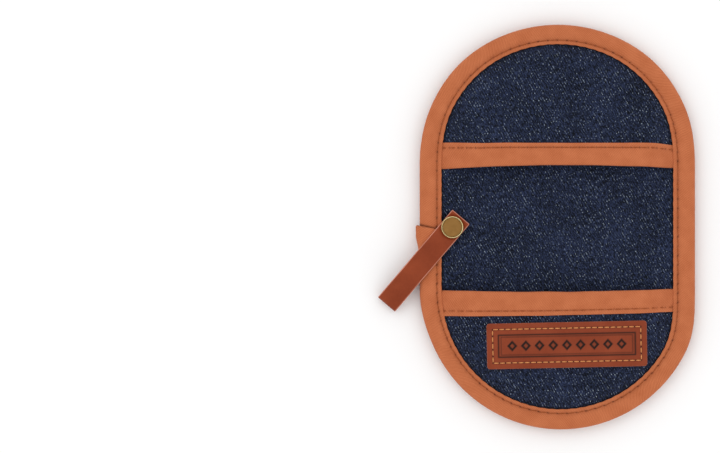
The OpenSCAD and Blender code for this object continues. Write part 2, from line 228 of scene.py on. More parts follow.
def settle(name, face, swell, up):
    """A face's heights after cloth has settled on it. The cloth swells up (1) or down (-1)."""
    reach_x, reach_y = HALF_W - BINDING_W + 2 * MM, HALF_W + END_Y - BINDING_W + 2 * MM
    spacing = 2.6 * MM
    bm = bmesh.new()
    bmesh.ops.create_grid(
        bm, x_segments=round(2 * reach_x / spacing), y_segments=round(2 * reach_y / spacing), size=1
    )
    bmesh.ops.scale(bm, verts=bm.verts, vec=(reach_x, reach_y, 1))
    far = [f for f in bm.faces if all(rim_distance(v.co.x, v.co.y) < BINDING_W - 3 * MM for v in f.verts)]
    bmesh.ops.delete(bm, geom=far, context="FACES")
    for vert in bm.verts:
        vert.co.z = face(vert.co.x, vert.co.y)
    if up < 0:
        bmesh.ops.reverse_faces(bm, faces=bm.faces)
    bmesh.ops.scale(bm, verts=bm.verts, vec=(SIM_SCALE,) * 3)
    mesh = bpy.data.meshes.new(name)
    bm.to_mesh(mesh)
    bm.free()
    sheet = bpy.data.objects.new(name, mesh)
    bpy.context.scene.collection.objects.link(sheet)
    rest = [v.co / SIM_SCALE for v in mesh.vertices]
    pinned = [i for i, p in enumerate(rest) if rim_distance(p.x, p.y) < BINDING_W + 0.5 * MM]
    sheet.vertex_groups.new(name="sewn").add(pinned, 1.0, "REPLACE")
    cloth = sheet.modifiers.new("cloth", "CLOTH")
    settings = cloth.settings
    settings.quality = 6
    settings.mass = 0.3
    settings.tension_stiffness = settings.compression_stiffness = 18
    settings.shear_stiffness = 8
    settings.bending_stiffness = 1.2
    settings.vertex_group_mass = "sewn"
    settings.shrink_min = -swell
    settings.use_pressure = True
    settings.uniform_pressure_force = 0.01
    settings.effector_weights.gravity = 0
    scene = bpy.context.scene
    for step in range(1, SIM_FRAMES + 1):
        scene.frame_set(step)
    settled = sheet.evaluated_get(bpy.context.evaluated_depsgraph_get()).to_mesh()
    moves = [v.co.z / SIM_SCALE - p.z for v, p in zip(settled.vertices, rest)]
    tree = KDTree(len(rest))
    for i, p in enumerate(rest):
        tree.insert((p.x, p.y, 0), i)
    tree.balance()
    bpy.data.objects.remove(sheet)
    scene.frame_set(1)
    print(name, "moves", round(min(moves) / MM, 2), "to", round(max(moves) / MM, 2), "mm")

    def settled_face(x, y):
        total, weight = 0.0, 1e-9
        for place, i, distance in tree.find_range((x, y, 0), 2.1 * spacing):
            share = exp(-((distance / (0.75 * spacing)) ** 2))
            total += share * CLOTH_LIMIT * tanh(moves[i] / CLOTH_LIMIT)
            weight += share
        return max(0, face(x, y) + total / weight)

    return settled_face


palm_face = settle("palm_cloth", palm_face, 0.001, -1)
PANEL_FACES = {"finger": settle("finger_cloth", pocket_face, 0.001, 1)}
PANEL_FACES["thumb"] = PANEL_FACES["finger"]

# %% [markdown]
# ## Helpers that turn a mesh into a piece
# A bmesh is only a workbench. The helper below closes it into an object at the origin, shades it smooth
# with crisp edges where two parts meet, and gives it its materials.

# %% From a bmesh to a piece


def finish_piece(name, bm, materials, sharp_angle=50):
    """Makes the object from the bmesh. Edges sharper than the angle stay crisp."""
    for face in bm.faces:
        face.smooth = True
    for edge in bm.edges:
        edge.smooth = edge.is_manifold and edge.calc_face_angle(0) < radians(sharp_angle)
    mesh = bpy.data.meshes.new(name)
    bm.to_mesh(mesh)
    bm.free()
    for material in materials:
        mesh.materials.append(material)
    piece = bpy.data.objects.new(name, mesh)
    bpy.context.scene.collection.objects.link(piece)
    return piece


def lay_pattern(bm, place):
    """Writes where each point lies on the flat cloth, in millimetres, as its UV."""
    layer = bm.loops.layers.uv.new("UVMap")
    for face in bm.faces:
        for loop in face.loops:
            u, v = place(loop.vert.co)
            loop[layer].uv = (u / MM, v / MM)


def shade_points(bm, name, amount):
    """Keeps one number at each point, for a material to read."""
    layer = bm.verts.layers.float.new(name)
    for vert in bm.verts:
        vert[layer] = amount(vert.co)


# %% [markdown]
# ## Materials: a few shorthands
# A woven pattern needs a lot of small arithmetic, so three shorthands keep the node trees readable. A
# number that is the same all over a surface is set on the shader itself.

# %% Node shorthands


def new_material(name, roughness, **sockets):
    """A material with its shader ready, and its node tree."""
    material = bpy.data.materials.new(name)
    material.use_nodes = True
    tree = material.node_tree
    shader = tree.nodes["Principled BSDF"]
    shader.inputs["Roughness"].default_value = roughness
    for socket, value in sockets.items():
        shader.inputs[socket.replace("_", " ")].default_value = value
    return material, tree, shader


def add(tree, kind, props=None, **inputs):
    """A node with its properties set and its inputs filled or linked."""
    node = tree.nodes.new(kind)
    for key, value in (props or {}).items():
        setattr(node, key, value)
    for key, value in inputs.items():
        socket = node.inputs[int(key[1:])] if key[0] == "i" and key[1:].isdigit() else node.inputs[key]
        if isinstance(value, bpy.types.NodeSocket):
            tree.links.new(value, socket)
        else:
            socket.default_value = value
    return node


def calc(tree, operation, *values):
    """One step of arithmetic."""
    inputs = {f"i{i}": v for i, v in enumerate(values)}
    return add(tree, "ShaderNodeMath", {"operation": operation}, **inputs).outputs[0]


def blend_colours(tree, share, low, high, kind="MIX"):
    """A colour between two others."""
    node = add(tree, "ShaderNodeMix", {"data_type": "RGBA", "blend_type": kind}, i0=share)
    for socket, value in ((node.inputs[6], low), (node.inputs[7], high)):
        if isinstance(value, bpy.types.NodeSocket):
            tree.links.new(value, socket)
        else:
            socket.default_value = (*value, 1)
    return node.outputs[2]


def colour(red, green, blue):
    """A colour as a paint chart gives it, 0 to 255, turned into light."""
    return tuple(
        (c / 255 / 12.92) if c <= 10 else ((c / 255 + 0.055) / 1.055) ** 2.4
        for c in (red, green, blue)
    )


def pattern_axes(tree):
    """The flat cloth's two directions, in millimetres."""
    uv = add(tree, "ShaderNodeUVMap", {"uv_map": "UVMap"}).outputs[0]
    parts = add(tree, "ShaderNodeSeparateXYZ", i0=uv)
    return uv, parts.outputs[0], parts.outputs[1]


def uneven(tree, uv, scale, detail=2.0, stretch=(1, 1, 1)):
    """Soft noise over the cloth, from about 0 to 1."""
    spread = add(tree, "ShaderNodeMapping", i0=uv, Scale=stretch).outputs[0]
    return add(tree, "ShaderNodeTexNoise", None, Vector=spread, Scale=scale, Detail=detail).outputs[0]


def relief(tree, shader, height, distance):
    """Turns a height into small bumps, in metres."""
    bump = add(tree, "ShaderNodeBump", None, Height=height, Distance=distance, Strength=1.0)
    tree.links.new(bump.outputs[0], shader.inputs["Normal"])


# %% [markdown]
# ## Denim
# Denim is a 3-and-1 twill: indigo warp threads pass over three undyed weft threads and under one, and the
# pale crossings step down one thread at a time, so they line up as steep diagonals. Painting those lines
# would look printed. Counting the threads instead, and giving every crossing its own luck, gives the
# scattered pale flecks of a raw indigo cloth and bumps that agree with them.

# %% Denim material


def make_denim():
    material, tree, shader = new_material("indigo_denim", 0.9, Specular_IOR_Level=0.1, Sheen_Weight=0.03)
    uv, x, y = pattern_axes(tree)
    waver = uneven(tree, uv, 0.35)
    warp = calc(tree, "DIVIDE", calc(tree, "MULTIPLY_ADD", waver, 1.1, x), 0.39)
    weft = calc(tree, "DIVIDE", calc(tree, "MULTIPLY_ADD", waver, -0.8, y), 0.68)
    warp_count, weft_count = calc(tree, "FLOOR", warp), calc(tree, "FLOOR", weft)
    step = calc(tree, "FLOORED_MODULO", calc(tree, "ADD", warp_count, weft_count), 4.0)
    crossing = calc(tree, "LESS_THAN", step, 0.5)
    across = calc(tree, "SINE", calc(tree, "MULTIPLY", calc(tree, "FRACT", warp), pi))
    along = calc(tree, "SINE", calc(tree, "MULTIPLY", calc(tree, "FRACT", weft), pi))
    cell = add(tree, "ShaderNodeCombineXYZ", None, i0=warp_count, i1=weft_count).outputs[0]
    luck = add(tree, "ShaderNodeTexWhiteNoise", {"noise_dimensions": "2D"}, Vector=cell).outputs[0]
    spot = calc(tree, "MULTIPLY", crossing, calc(tree, "MULTIPLY", across, along))
    tilted = add(
        tree, "ShaderNodeMapping", {"vector_type": "POINT"}, i0=uv, Rotation=(0, 0, radians(60))
    )
    leaning = tilted.outputs[0]
    streaks = uneven(tree, leaning, 1.0, 3.0, (0.42, 1.7, 1))
    speckle = uneven(tree, uv, 1.5, 3.0)
    clouds = uneven(tree, uv, 0.045, 3.0)
    dye = calc(tree, "MULTIPLY_ADD", streaks, 2.3, calc(tree, "MULTIPLY_ADD", clouds, 0.6, -2.2))
    dye = calc(tree, "MULTIPLY_ADD", speckle, 1.7, calc(tree, "MULTIPLY_ADD", luck, 0.3, dye))
    indigo = blend_colours(tree, dye, colour(8, 10, 17), colour(56, 67, 101))
    bright = calc(tree, "MULTIPLY", calc(tree, "POWER", luck, 6.0), calc(tree, "MULTIPLY", streaks, 1.7))
    bright = calc(tree, "MULTIPLY_ADD", calc(tree, "GREATER_THAN", luck, 0.982), 0.5, bright)
    pale = blend_colours(tree, bright, colour(54, 70, 100), colour(204, 220, 232))
    share = calc(tree, "MULTIPLY", spot, calc(tree, "MULTIPLY_ADD", luck, 0.7, 0.12))
    cloth = blend_colours(tree, share, indigo, pale)
    # painted shade: the denim turns near black beside the tape's inner edge
    seam = add(tree, "ShaderNodeAttribute", {"attribute_name": "painted_shade"}).outputs["Fac"]
    tree.links.new(blend_colours(tree, seam, cloth, colour(8, 9, 14)), shader.inputs["Base Color"])
    ridges = calc(tree, "MULTIPLY_ADD", across, calc(tree, "SUBTRACT", 1.0, crossing), spot)
    relief(tree, shader, ridges, 0.1 * MM)
    return material


DENIM_CLOTH = make_denim()
print("denim nodes", len(DENIM_CLOTH.node_tree.nodes))

# %% [markdown]
# ## Twill tape
# The binding is a finer, brushed cotton twill in one rust-orange dye. Cut on the bias, it shows close
# diagonal lines that run with the tape. Shade is painted into it down in the pucker beside the stitches,
# at the stitch holes and beside the lap, and the points of the mesh keep how much as a number.

# %% Tape material


def make_tape():
    material, tree, shader = new_material("rust_twill_tape", 0.85, Specular_IOR_Level=0.1, Sheen_Weight=0.06)
    uv, along, across = pattern_axes(tree)
    waver = uneven(tree, uv, 0.25)
    slant = calc(tree, "MULTIPLY_ADD", across, 0.62, calc(tree, "MULTIPLY_ADD", waver, 1.2, along))
    line = calc(tree, "SINE", calc(tree, "MULTIPLY", slant, 2 * pi / 0.95))
    slanted = calc(tree, "MULTIPLY_ADD", along, -0.5, across)
    yarn = calc(tree, "SINE", calc(tree, "MULTIPLY", slanted, 2 * pi / 0.5))
    weave = calc(tree, "MULTIPLY_ADD", line, 0.3, calc(tree, "MULTIPLY_ADD", yarn, 0.12, 0.5))
    blotches = uneven(tree, uv, 0.12, 4.0)
    fibres = uneven(tree, uv, 2.2, 2.0)
    tone = calc(tree, "MULTIPLY_ADD", weave, 0.7, calc(tree, "MULTIPLY_ADD", blotches, 0.6, -0.4))
    tone = calc(tree, "MULTIPLY_ADD", fibres, 0.5, tone)
    dyed = blend_colours(tree, tone, colour(160, 80, 43), colour(212, 128, 86))
    # painted shade: the tape darkens in the pinch, at the stitch holes and beside the lap
    painted_shade = add(tree, "ShaderNodeAttribute", {"attribute_name": "painted_shade"}).outputs["Fac"]
    tree.links.new(blend_colours(tree, painted_shade, dyed, colour(74, 28, 14)), shader.inputs["Base Color"])
    relief(tree, shader, calc(tree, "MULTIPLY_ADD", fibres, 0.4, weave), 0.09 * MM)
    return material


TAPE_CLOTH = make_tape()

# %% [markdown]
# ## Leather
# Vegetable-tanned strap leather has a smooth red-brown face with faint pores and a slow change of tone,
# some gloss, and a paler, rougher cut edge. The cut edge is a material of its own on the narrow faces.
# The label's motif is pressed in hot, which darkens it, and shade is painted into its stitch holes: a number
# at each point says how dark.

# %% Leather materials


def make_leather(name, dark, light, roughness):
    material, tree, shader = new_material(name, roughness, Specular_IOR_Level=0.14)
    uv, along, across = pattern_axes(tree)
    clouds = uneven(tree, uv, 0.06, 4.0)
    grain = uneven(tree, uv, 0.9, 6.0)
    cells = add(tree, "ShaderNodeTexVoronoi", {"feature": "DISTANCE_TO_EDGE"}, Vector=uv, Scale=1.7)
    pores = cells.outputs[0]
    tone = calc(tree, "MULTIPLY_ADD", grain, 0.35, calc(tree, "MULTIPLY_ADD", clouds, 1.1, -0.25))
    hide = blend_colours(tree, tone, dark, light)
    # the hot stamp's own darkening, and painted shade in the label's stitch holes
    stamp_and_hole_shade = add(tree, "ShaderNodeAttribute", {"attribute_name": "stamp_and_hole_shade"}).outputs["Fac"]
    tree.links.new(blend_colours(tree, stamp_and_hole_shade, hide, colour(34, 20, 15)), shader.inputs["Base Color"])
    rough = calc(tree, "MULTIPLY_ADD", grain, 0.22, roughness - 0.1)
    tree.links.new(rough, shader.inputs["Roughness"])
    wrinkles = calc(tree, "MULTIPLY_ADD", calc(tree, "MINIMUM", pores, 0.12), 3.0, grain)
    relief(tree, shader, wrinkles, 0.05 * MM)
    return material


LEATHER = make_leather("strap_leather", colour(112, 42, 16), colour(154, 70, 38), 0.42)
LABEL_LEATHER = make_leather("label_leather", colour(118, 46, 22), colour(150, 70, 42), 0.5)
CUT_LEATHER = make_leather("leather_cut_edge", colour(164, 94, 74), colour(224, 158, 136), 0.75)

# %% [markdown]
# ## Brass, thread, wadding, film and lining
# The snap is antique brass: brown in the middle of its cap and bright on its rim, partly rubbed brass and
# partly a painted highlight, which the spun mesh marks with a number. Thread is two twisted plies. The
# parts inside are plainer, but a folded or opened mitt can still show them.

# %% The other materials


def make_brass():
    material, tree, shader = new_material("antique_brass", 0.34, Metallic=1.0)
    place = add(tree, "ShaderNodeTexCoord").outputs["Object"]
    cloud = add(tree, "ShaderNodeTexNoise", None, Vector=place, Scale=420.0, Detail=5.0).outputs[0]
    brown = blend_colours(tree, cloud, colour(126, 92, 48), colour(156, 116, 66))
    # painted highlight on the rim, together with rubbed brass
    rim_wear_and_highlight = add(tree, "ShaderNodeAttribute", {"attribute_name": "rim_wear_and_highlight"}).outputs["Fac"]
    tree.links.new(blend_colours(tree, rim_wear_and_highlight, brown, colour(255, 232, 172)), shader.inputs["Base Color"])
    rough = calc(tree, "MULTIPLY_ADD", cloud, 0.2, 0.26)
    tree.links.new(rough, shader.inputs["Roughness"])
    relief(tree, shader, cloud, 0.01 * MM)
    return material


def make_thread(name, dark, light):
    material, tree, shader = new_material(name, 0.75, Specular_IOR_Level=0.1)
    uv, along, across = pattern_axes(tree)
    slant = calc(tree, "MULTIPLY_ADD", across, 1.3, along)
    ply = calc(tree, "SINE", calc(tree, "MULTIPLY", slant, 2 * pi / 0.7))
    tone = calc(tree, "MULTIPLY_ADD", ply, 0.5, 0.5)
    tree.links.new(blend_colours(tree, tone, dark, light), shader.inputs["Base Color"])
    relief(tree, shader, tone, 0.08 * MM)
    return material


def make_plain(name, dark, light, roughness, scale, distance, **sockets):
    """Wadding, film and lining: one uneven tone with its own texture."""
    material, tree, shader = new_material(name, roughness, **sockets)
    uv, along, across = pattern_axes(tree)
    fibres = uneven(tree, uv, scale, 5.0)
    tree.links.new(blend_colours(tree, fibres, dark, light), shader.inputs["Base Color"])
    relief(tree, shader, fibres, distance)
    return material


BRASS = make_brass()
RUST_THREAD = make_thread("rust_thread", colour(122, 58, 28), colour(182, 100, 56))
TAN_THREAD = make_thread("tan_thread", colour(182, 104, 52), colour(238, 172, 112))
WADDING = make_plain("cotton_wadding", colour(190, 184, 172), colour(236, 232, 222), 0.95, 1.1, 0.4 * MM)
FILM = make_plain(
    "heat_film", colour(150, 150, 155), colour(205, 205, 210), 0.35, 0.3, 0.15 * MM, Metallic=0.9
)
COTTON = make_plain("lining_cotton", colour(150, 143, 128), colour(190, 184, 168), 0.9, 2.5, 0.08 * MM)
print("materials", len(bpy.data.materials))

# %% [markdown]
# ## Sheets and pads
# Every layer is a slab: a grid of cloth trimmed to the oval, thickened upwards, then laid between two
# faces. A grid keeps the weave's small dents even over the whole sheet. Its ragged outer ring is pulled
# onto the oval, so the trimmed edge is clean. The mitt folds at two lines, so a layer that runs through
# is made as two halves, which meet at the middle line.

# %% A slab of cloth

CUT_IN = 4 * MM


def slab(lower, upper, y_from, spacing, cut_in=CUT_IN, nudge=None):
    """Closed slab over the +Y part of the oval, between two faces."""
    reach = HALF_W - cut_in
    deep = END_Y + reach - y_from
    columns, rows = round(2 * reach / spacing), round(deep / spacing)
    bm = bmesh.new()
    bmesh.ops.create_grid(bm, x_segments=columns, y_segments=rows, size=1)
    bmesh.ops.scale(bm, verts=bm.verts, vec=(reach, deep / 2, 1))
    bmesh.ops.translate(bm, verts=bm.verts, vec=(0, y_from + deep / 2, 0))
    outside = [f for f in bm.faces if all(rim_distance(v.co.x, v.co.y) < cut_in for v in f.verts)]
    bmesh.ops.delete(bm, geom=outside, context="FACES")
    for vert in bm.verts:
        short = cut_in - rim_distance(vert.co.x, vert.co.y)
        if short > 0:
            centre = Vector((0, max(0, vert.co.y - END_Y) and END_Y or vert.co.y, 0))
            vert.co += (centre - vert.co).normalized() * short
    if nudge:
        for vert in bm.verts:
            vert.co.y += nudge(vert.co.x, vert.co.y)
    top = bmesh.ops.extrude_face_region(bm, geom=bm.faces[:])["geom"]
    top = {v for v in top if isinstance(v, bmesh.types.BMVert)}
    for vert in bm.verts:
        face = upper if vert in top else lower
        vert.co.z = face(vert.co.x, vert.co.y)
    bmesh.ops.recalc_face_normals(bm, faces=bm.faces)
    return bm


def turn_to_thumb(bm):
    """The thumb end is the finger end turned half round."""
    bmesh.ops.rotate(bm, verts=bm.verts, cent=(0, 0, 0), matrix=Matrix.Rotation(pi, 3, "Z"))


def turned(face):
    """A face read at the point that it will have after the half turn."""
    return lambda x, y: face(-x, -y)


def lifted(face, height):
    return lambda x, y: face(x, y) + height


ENDS = {"finger": 1, "thumb": -1}


def bend_at_fold(piece):
    """Bakes the piece's placement into its mesh."""
    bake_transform(piece)


def through_layer(name, end, lower, upper, material, spacing, mirror_pattern=False):
    """One half of a layer that runs through the mitt."""
    if end == "thumb":
        bm = slab(turned(lower), turned(upper), 0, spacing)
        turn_to_thumb(bm)
    else:
        bm = slab(lower, upper, 0, spacing)
    lay_pattern(bm, lambda p: (p.x, -p.y) if mirror_pattern else (p.x, p.y))
    # painted shade beside the tape, which only the denim reads
    shade_points(bm, "painted_shade", lambda p: seam_shadow(p.x, p.y, not mirror_pattern))
    piece = finish_piece(f"{name}_{end}_side", bm, [material])
    bend_at_fold(piece)
    return piece


def seam_shadow(x, y, up):
    """Painted shade that darkens the cloth in the last millimetre beside the tape."""
    return 0.95 * (1 - ease((past_tape(x, y, up) + 0.3 * MM) / (1.9 * MM)))


# %% [markdown]
# ## The covers, the film and the wadding
# From the palm up: denim, a heat-reflecting film, wadding, denim. All four nest, because each one starts
# from the face below it. They also share one spacing of rows: a coarser film would cut the corner of the
# fold in long flat steps and show through the palm.

# %% Covers and filling

FILM_T = 0.3 * MM
ROOM = 0.05 * MM
LAYER_ROWS = 1.5 * MM

for end in ENDS:
    palm = through_layer(
        "palm_cover", end, palm_face, lifted(palm_face, DENIM), DENIM_CLOTH, LAYER_ROWS, True
    )
    film_low, film_top = lifted(palm_face, DENIM + ROOM), lifted(palm_face, DENIM + FILM_T)
    film = through_layer("heat_film", end, film_low, film_top, FILM, LAYER_ROWS)
    filling_low, filling_top = lifted(palm_face, DENIM + FILM_T + ROOM), lifted(back_face, -DENIM - ROOM)
    wadding = through_layer("wadding", end, filling_low, filling_top, WADDING, LAYER_ROWS)
    back = through_layer("back_cover", end, lifted(back_face, -DENIM), back_face, DENIM_CLOTH, LAYER_ROWS)
    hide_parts(f"palm_cover_{end}_end")
    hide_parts(f"heat_film_{end}_end")
    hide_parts(f"wadding_{end}_end")
    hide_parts(f"back_cover_{end}_end")
    if end == "finger":
        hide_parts("palm_cover_middle")
        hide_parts("heat_film_middle")
        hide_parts("wadding_middle")
        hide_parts("back_cover_middle")
    print(end, "cover faces", len(palm.data.polygons))

# %% [markdown]
# ## The edge binding
# Tape folded round a raw edge has a soft, round outer fold, a flat part, and an inner edge that the stitches
# pull down a little, so a low lip stands beside the stitch line. One cross-section swept round the oval
# gives that, because a spin turns it through each half circle and a straight spin runs it down the sides.

# %% Section of the binding
FLAT_STEPS = (0, 0.15, 0.6, 1.3, 2.0, 2.6, 3.2, 3.9, 4.8, 6, 7.2, 8.4, 9.3)
STITCH_IN = 9.6 * MM
EDGE_PITCH = 5.2 * MM
ROUND_STEPS = 432
STRAIGHT_STEPS = 62


def tape_section(grow=0.0):
    """Closed outline of the folded tape, as distance in from the edge and height."""
    turn = [radians(a) for a in range(80, -81, -10)]
    flats = [BINDING_W - step * MM for step in FLAT_STEPS]
    outer_r, inner_r = EDGE_R + grow, EDGE_R + grow - TAPE
    outer = [(d, EDGE_MID_Z + outer_r) for d in flats]
    outer += [(EDGE_R - outer_r * cos(a), EDGE_MID_Z + outer_r * sin(a)) for a in turn]
    outer += [(d, EDGE_MID_Z - outer_r) for d in reversed(flats)]
    inner = [(d, EDGE_MID_Z - inner_r) for d in flats[1::3]]
    inner += [(EDGE_R - inner_r * cos(a), EDGE_MID_Z + inner_r * sin(a)) for a in reversed(turn[::2])]
    inner += [(d, EDGE_MID_Z + inner_r) for d in reversed(flats[1::3])]
    return outer + inner


def sweep(section, straight_steps=STRAIGHT_STEPS, round_steps=ROUND_STEPS):
    """The section swept round the +Y half of the oval."""
    bm = bmesh.new()
    ring = [bm.verts.new((HALF_W - d, 0, z)) for d, z in section]
    edges = [bm.edges.new(pair) for pair in zip(ring, ring[1:] + ring[:1])]
    first = list(edges)
    geom = ring + edges
    climb = END_Y / straight_steps
    geom = bmesh.ops.spin(
        bm, geom=geom, cent=(0, 0, 0), axis=(0, 0, 1), dvec=(0, climb, 0), angle=0, steps=straight_steps
    )["geom_last"]
    geom = bmesh.ops.spin(
        bm, geom=geom, cent=(0, END_Y, 0), axis=(0, 0, 1), angle=pi, steps=round_steps
    )["geom_last"]
    geom = bmesh.ops.spin(
        bm, geom=geom, cent=(0, 0, 0), axis=(0, 0, 1), dvec=(0, -climb, 0), angle=0, steps=straight_steps
    )["geom_last"]
    last = [g for g in geom if isinstance(g, bmesh.types.BMEdge)]
    for loop in (first, last):
        bmesh.ops.holes_fill(bm, edges=loop)
    bmesh.ops.recalc_face_normals(bm, faces=bm.faces)
    return bm


TURN_R = 70 * MM
HALF_TURN = pi * TURN_R


def run_of(p):
    """How far along the tape a point is, from the right side's middle, over the +Y half."""
    if abs(p.y) <= END_Y:
        return abs(p.y) if p.x > 0 else 2 * END_Y + HALF_TURN - abs(p.y)
    return END_Y + TURN_R * atan2(abs(p.y) - END_Y, p.x)


def round_of(p):
    """How far round the tape's section a point is, from its inner edge on the pocket side."""
    d = rim_distance(p.x, p.y)
    if d > EDGE_R:
        return BINDING_W - d if p.z > EDGE_MID_Z else BINDING_W + d
    return BINDING_W - EDGE_R + EDGE_R * (pi / 2 - atan2(p.z - EDGE_MID_Z, EDGE_R - d))


# %% [markdown]
# ## Pucker
# Each stitch pinches the tape, and the tape swells a little between two stitches. The same rule shapes the
# mesh and darkens the tape, so that the shadow sits in the pinch. The tape's inner edge also wanders by
# about a millimetre, as hand-fed tape does.

# %% Stitch line of the edge


def stitch_spots(pitch):
    """Points and headings along the edge's stitch line, over the +Y half."""
    line_r = HALF_W - STITCH_IN
    length = 2 * END_Y + pi * line_r
    count = round(length / pitch)
    spots = []
    for i in range(count):
        s = (i + 0.5) * length / count
        if s < END_Y:
            spots.append((Vector((line_r, s, 0)), pi / 2))
        elif s < END_Y + pi * line_r:
            a = (s - END_Y) / line_r
            spots.append((Vector((line_r * cos(a), END_Y + line_r * sin(a), 0)), a + pi / 2))
        else:
            spots.append((Vector((-line_r, 2 * END_Y + pi * line_r - s, 0)), -pi / 2))
    return spots, length / count


EDGE_SPOTS, EDGE_STEP = stitch_spots(EDGE_PITCH)


def stitch_wave(p, slant=0.0):
    """1 at a hole between two stitches, 0 in the middle of a stitch."""
    line_r = HALF_W - STITCH_IN
    if abs(p.y) <= END_Y:
        s = abs(p.y) if p.x > 0 else 2 * END_Y + pi * line_r - abs(p.y)
    else:
        s = END_Y + line_r * atan2(abs(p.y) - END_Y, p.x)
    return (1 + cos(2 * pi * (s - slant) / EDGE_STEP)) / 2


def pucker(p):
    """How deep the tape is pulled in at a point, in metres, from the stitches."""
    off = rim_distance(p.x, p.y) - STITCH_IN
    return 0.3 * MM * hump(off, 1.1 * MM) + 0.4 * MM * stitch_wave(p, 0.7 * off) ** 3 * hump(off, 0.6 * MM)


LAP_TOP = 1.6 * MM
LAP_FADE = -24 * MM


def lap_lift(y):
    """How far the hidden layer lifts the lap, which turns under at its folded end."""
    lift = 0.9 * MM * ease((y - LAP_FADE) / (12 * MM)) - 0.1 * MM
    return lift * (1 - 0.5 * ease((y - LAP_TOP + 0.7 * MM) / (0.7 * MM)))


def lap_bulge(y):
    """How far the lap stands out sideways over the mitt's edge."""
    start = ease((y + 13 * MM) / (9 * MM))
    finish = 1 - 0.6 * ease((y - LAP_TOP + 1.3 * MM) / (1.3 * MM))
    return 1.4 * MM * start * finish


def lap_line(x):
    """The height at which the lap's folded end crosses the tape."""
    return LAP_TOP - 2.6 * MM + (abs(x) - 68 * MM) * 0.236


def tape_painted_shade(p):
    """Painted shade in the pinch, at the stitch holes and beside the lap's folded end."""
    off = rim_distance(p.x, p.y) - STITCH_IN
    luck = 0.7 + 0.6 * noise.noise(Vector((p.x / (9 * MM), p.y / (9 * MM), 21)))
    dark = 0.14 * hump(off, 1.2 * MM) + 1.3 * luck * stitch_wave(p, 0.7 * off) ** 6 * hump(off, 0.42 * MM)
    if p.x < -64 * MM and abs(p.y) < 9 * MM:
        dark = max(dark, 0.9 * hump(p.y - lap_line(p.x) - 0.25 * MM, 0.42 * MM))
    return min(1, dark)


def shift_in(p):
    """How far inwards a point of the tape moves, so that the tape's edges run as they were fed."""
    d = rim_distance(p.x, p.y)
    outer = rim_in(p.x, p.y)
    inner = tape_edge(p.x, p.y, p.z > EDGE_MID_Z)
    return outer + d * (inner - outer) / BINDING_W - d


def inwards(p):
    """The direction from a point of the edge towards the mitt's middle."""
    beyond = max(0, abs(p.y) - END_Y) * (1 if p.y > 0 else -1)
    return Vector((-p.x, -beyond, 0)).normalized()


def shape_tape(bm):
    """Crown, pucker, and edges that run as they were fed."""
    for vert in bm.verts:
        p = vert.co
        d = rim_distance(p.x, p.y)
        up = 1 if p.z > EDGE_MID_Z else -1
        flat = ease((d - EDGE_R) / (2 * MM))
        crown = 0.25 * MM * sin(pi * min(1, max(0, (d - EDGE_R) / (STITCH_IN - EDGE_R)))) * flat
        wrinkle = 0.12 * MM * noise.noise(Vector((p.x / (7 * MM), p.y / (7 * MM), up)))
        lip = 0.3 * MM * hump(d - BINDING_W + 0.9 * MM, 0.7 * MM)
        move = inwards(p) * shift_in(p)
        if d > STITCH_IN:
            scallop = 0.18 * MM * stitch_wave(p) * (d - STITCH_IN) / (BINDING_W - STITCH_IN)
            move -= inwards(p) * scallop
        vert.co.z += up * (crown + wrinkle * flat + lip - pucker(p) * flat)
        vert.co += move



for end in ENDS:
    bm = sweep(tape_section())
    if end == "thumb":
        turn_to_thumb(bm)
    place = {v: (run_of(v.co) * ENDS[end], round_of(v.co)) for v in bm.verts}
    layer = bm.loops.layers.uv.new("UVMap")
    for face in bm.faces:
        for loop in face.loops:
            u, v = place[loop.vert]
            loop[layer].uv = (u / MM, v / MM)
    # painted shade in the stitch pinch and holes of the binding
    shade_points(bm, "painted_shade", tape_painted_shade)
    shape_tape(bm)
    binding = finish_piece(f"edge_binding_{end}_side", bm, [TAPE_CLOTH], 75)
    bend_at_fold(binding)
    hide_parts(f"edge_binding_{end}_end")
    if end == "finger":
        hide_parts("edge_binding_middle")
    print(end, "binding faces", len(binding.data.polygons))

# %% [markdown]
# ## Stitches
# A sewn stitch is a short length of thread that dives into the cloth at both ends. A stretched sphere of a
# few dozen faces, sunk by a third, is enough, since there are hundreds of them, and all the stitches of one
# seam are one piece.

# %% Stitch maker


def stitches(name, spots, length, width, material, sink=0.3):
    """One piece with a stitch at every (point, heading) spot."""
    bm = bmesh.new()
    layer = bm.loops.layers.uv.new("UVMap")
    for point, heading in spots:
        made = bmesh.ops.create_uvsphere(bm, u_segments=10, v_segments=6, radius=0.5)["verts"]
        faces = {f for v in made for f in v.link_faces}
        turn = Matrix.Rotation(heading, 4, "Z") @ Matrix.Rotation(pi / 2, 4, "Y")
        for face in faces:
            for loop in face.loops:
                loop[layer].uv = (loop.vert.co.z * length / MM, loop.vert.co.x * width / MM)
        bmesh.ops.scale(bm, verts=made, vec=(width, width, length))
        bmesh.ops.transform(bm, verts=made, matrix=turn)
        bmesh.ops.translate(bm, verts=made, vec=point + Vector((0, 0, width * (0.5 - sink))))
    return finish_piece(name, bm, [material], 80)


for end, side in ENDS.items():
    spots = []
    for point, heading in EDGE_SPOTS:
        turn = heading if side > 0 else heading + pi
        x, y = side * point.x, side * point.y
        lift = lap_lift(y) if x < 0 and LAP_FADE < y < 0 else 0
        for up in (1, -1):
            spot = Vector((x, y, EDGE_MID_Z + up * (EDGE_R + lift - (0.3 if up > 0 else 0.1) * MM)))
            spots.append((spot + inwards(spot) * shift_in(spot), turn + up * 0.06))
    seam = stitches(f"edge_stitching_{end}_side", spots, EDGE_STEP - 1.6 * MM, 0.56 * MM, RUST_THREAD, 0.42)
    bend_at_fold(seam)
    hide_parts(f"edge_stitching_{end}_end")
    if end == "finger":
        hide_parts("edge_stitching_middle")
    print(end, "edge stitches", len(spots))

